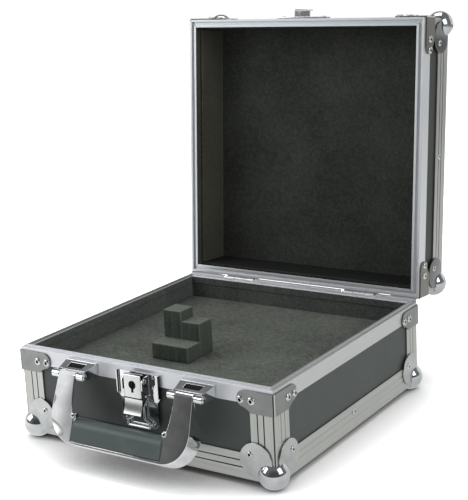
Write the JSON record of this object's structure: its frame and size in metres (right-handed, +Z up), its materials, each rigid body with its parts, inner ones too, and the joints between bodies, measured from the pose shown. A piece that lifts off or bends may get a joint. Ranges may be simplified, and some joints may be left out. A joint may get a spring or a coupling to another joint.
{
  "type": "flight case",
  "caption": "Small square flight case with an open hinged lid, aluminium edging, ball corners, foam lining, a key latch and a swinging carrying handle.",
  "frame": {"origin": "on the floor, midway between the soles of the four lower ball corners", "axes": "+Z up, -Y towards the handle and latch (front), +X to the right seen from the front"},
  "size_m": [0.367, 0.5199, 0.4778],
  "materials": {
    "laminate": "plywood faced with a dark grey textured laminate",
    "aluminium": "satin extrusion",
    "steel": "zinc plated sheet",
    "chrome": "bright chrome plate",
    "bed_foam": "open-cell grey foam",
    "lining_foam": "open-cell charcoal foam",
    "grip": "black moulded grip"
  },
  "bodies": {
    "base": {"base_box": "laminate", "base_foam": "bed_foam", "foam_cubes": "bed_foam", "latch_plate": "chrome", "base_rim_front": "aluminium", "base_edge_front": "aluminium", "base_rim_back": "aluminium", "base_edge_back": "aluminium", "base_rim_left": "aluminium", "base_edge_left": "aluminium", "base_rim_right": "aluminium", "base_edge_right": "aluminium", "base_upright_front_left": "aluminium", "base_ball_front_left": "chrome", "base_bracket_front_left": "steel", "base_upright_front_right": "aluminium", "base_ball_front_right": "chrome", "base_bracket_front_right": "steel", "base_upright_back_left": "aluminium", "base_ball_back_left": "chrome", "base_bracket_back_left": "steel", "base_upright_back_right": "aluminium", "base_ball_back_right": "chrome", "base_bracket_back_right": "steel", "hinge_base_leaf_left": "steel", "hinge_pin_left": "steel", "handle_mount_left": "chrome", "hinge_base_leaf_right": "steel", "hinge_pin_right": "steel", "handle_mount_right": "chrome"},
    "lid": {"lid_box": "laminate", "lid_foam": "lining_foam", "latch_keeper": "chrome", "lid_rim_front": "aluminium", "lid_edge_front": "aluminium", "lid_rim_back": "aluminium", "lid_edge_back": "aluminium", "lid_rim_left": "aluminium", "lid_edge_left": "aluminium", "lid_rim_right": "aluminium", "lid_edge_right": "aluminium", "lid_upright_front_left": "aluminium", "lid_ball_front_left": "chrome", "lid_bracket_front_left": "steel", "lid_upright_front_right": "aluminium", "lid_ball_front_right": "chrome", "lid_bracket_front_right": "steel", "lid_upright_back_left": "aluminium", "lid_ball_back_left": "chrome", "lid_bracket_back_left": "steel", "lid_upright_back_right": "aluminium", "lid_ball_back_right": "chrome", "lid_bracket_back_right": "steel", "hinge_lid_leaf_left": "steel", "hinge_lid_leaf_right": "steel"},
    "handle": {"handle_frame": "chrome", "handle_grip": "grip"},
    "lever": {"latch_lever": "chrome"},
    "bail": {"latch_bail": "chrome"},
    "lock": {"lock_cylinder": "steel"}
  },
  "joints": [
    {"name": "lid_hinge", "type": "hinge", "parent": "base", "child": "lid", "pos_m": [0, 0.1785, 0.1143], "axis": [1, 0, 0], "range_deg": [0, 95]},
    {"name": "handle_swing", "type": "hinge", "parent": "base", "child": "handle", "pos_m": [0, -0.199, 0.1006], "axis": [-1, 0, 0], "range_deg": [0, 72]},
    {"name": "latch_lever_turn", "type": "hinge", "parent": "base", "child": "lever", "pos_m": [0, -0.1849, 0.1027], "axis": [-1, 0, 0], "range_deg": [0, 140]},
    {"name": "latch_bail_swing", "type": "hinge", "parent": "lever", "child": "bail", "pos_m": [0, -0.1804, 0.0831], "axis": [-1, 0, 0], "range_deg": [-140, 0]},
    {"name": "lock_turn", "type": "hinge", "parent": "lever", "child": "lock", "pos_m": [0, -0.1832, 0.0976], "axis": [0, -1, 0], "range_deg": [0, 90]}
  ],
  "couplings": [
    {"joint": "latch_bail_swing", "follows": "latch_lever_turn", "ratio": -1}
  ]
}
